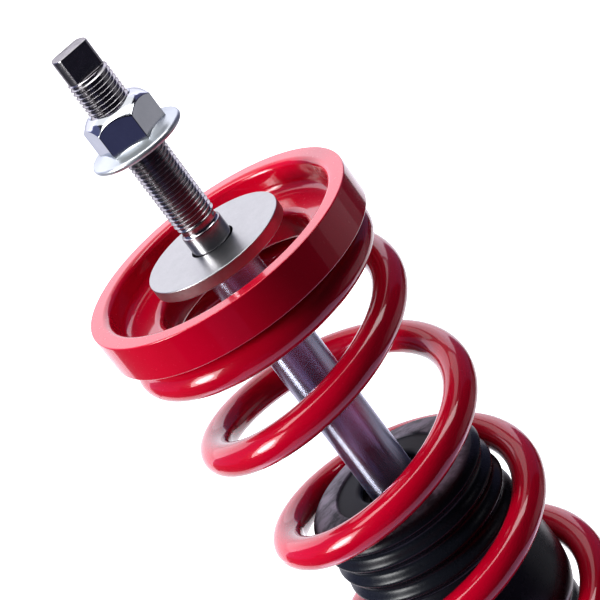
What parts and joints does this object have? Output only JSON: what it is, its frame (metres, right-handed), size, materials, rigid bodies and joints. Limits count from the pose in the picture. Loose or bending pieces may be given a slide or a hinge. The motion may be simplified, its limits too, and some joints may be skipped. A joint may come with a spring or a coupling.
{
  "type": "strut coilover",
  "caption": "Strut coilover: coil spring between a red upper seat and a threaded lower seat, chrome piston rod with stud and flange nut, rubber boot, twin-tube damper and clevis bracket.",
  "frame": {"origin": "on the strut axis, in the plane of the stop washer's top face, where the vehicle's top mount seats", "axes": "+Z along the strut axis towards the stud's tip; +X from the strut axis towards the knuckle bolts; +Y along the knuckle bolts"},
  "size_m": [0.127, 0.1084, 0.4595],
  "materials": {
    "chrome": "hard chrome, polished",
    "zinc": "bright zinc plate",
    "steel": "turned steel",
    "sintered": "sintered iron",
    "ptfe": "filled PTFE",
    "bronze": "bronze backed bush",
    "red_paint": "gloss crimson powder coat",
    "aluminium": "satin anodised",
    "black_steel": "black zinc plate on the thread, satin",
    "black_paint": "satin black coat",
    "rubber": "satin black rubber",
    "foam": "microcellular polyurethane"
  },
  "bodies": {
    "rod_assembly": {"piston_rod": "chrome", "stop_washer": "zinc", "flange_nut": "zinc", "rebound_bumper": "rubber", "rebound_stop": "steel", "compression_shims": "steel", "damper_piston": "sintered", "piston_band": "ptfe", "rebound_shims": "steel", "piston_nut": "steel"},
    "upper_seat": {"upper_spring_seat": "red_paint", "coil_spring": "red_paint"},
    "lower_seat": {"lower_spring_seat": "red_paint"},
    "collar": {"adjusting_collar": "aluminium"},
    "lock": {"lock_ring": "aluminium"},
    "strut_body": {"strut_tube": "black_steel", "base_cap": "black_paint", "inner_tube": "steel", "base_valve": "sintered", "base_valve_disc": "steel", "base_valve_rivet": "steel", "rod_guide": "sintered", "guide_bush": "bronze", "rod_seal": "rubber", "gland_o_ring": "rubber", "gland_nut": "steel", "bump_stop": "foam", "dust_boot": "rubber", "knuckle_bracket": "black_paint", "bracket_web": "black_paint", "link_tab": "black_paint", "hose_bracket": "black_paint"}
  },
  "joints": [
    {"name": "bearing_turn", "type": "hinge", "parent": "rod_assembly", "child": "upper_seat", "pos_m": [0, 0, -0.01], "axis": [0, 0, 1], "continuous": true},
    {"name": "suspension_travel", "type": "slide", "parent": "upper_seat", "child": "lower_seat", "axis": [0, 0, 1], "range_m": [0, 0.06], "stiffness_N_per_m": 64000, "springref_m": -0.002, "deforming": ["coil_spring"]},
    {"name": "collar_turn", "type": "hinge", "parent": "lower_seat", "child": "collar", "pos_m": [0, 0, -0.2533], "axis": [0, 0, 1], "range_deg": [-2885, 2885]},
    {"name": "lock_ring_turn", "type": "hinge", "parent": "lower_seat", "child": "lock", "pos_m": [0, 0, -0.2663], "axis": [0, 0, 1], "range_deg": [-2885, 2885]},
    {"name": "seat_height", "type": "slide", "parent": "lower_seat", "child": "strut_body", "axis": [0, 0, 1], "range_m": [-0.016, 0.016]}
  ],
  "couplings": [
    {"joint": "collar_turn", "follows": "seat_height", "rad_per_m": -3141.6},
    {"joint": "lock_ring_turn", "follows": "seat_height", "rad_per_m": -3141.6}
  ]
}
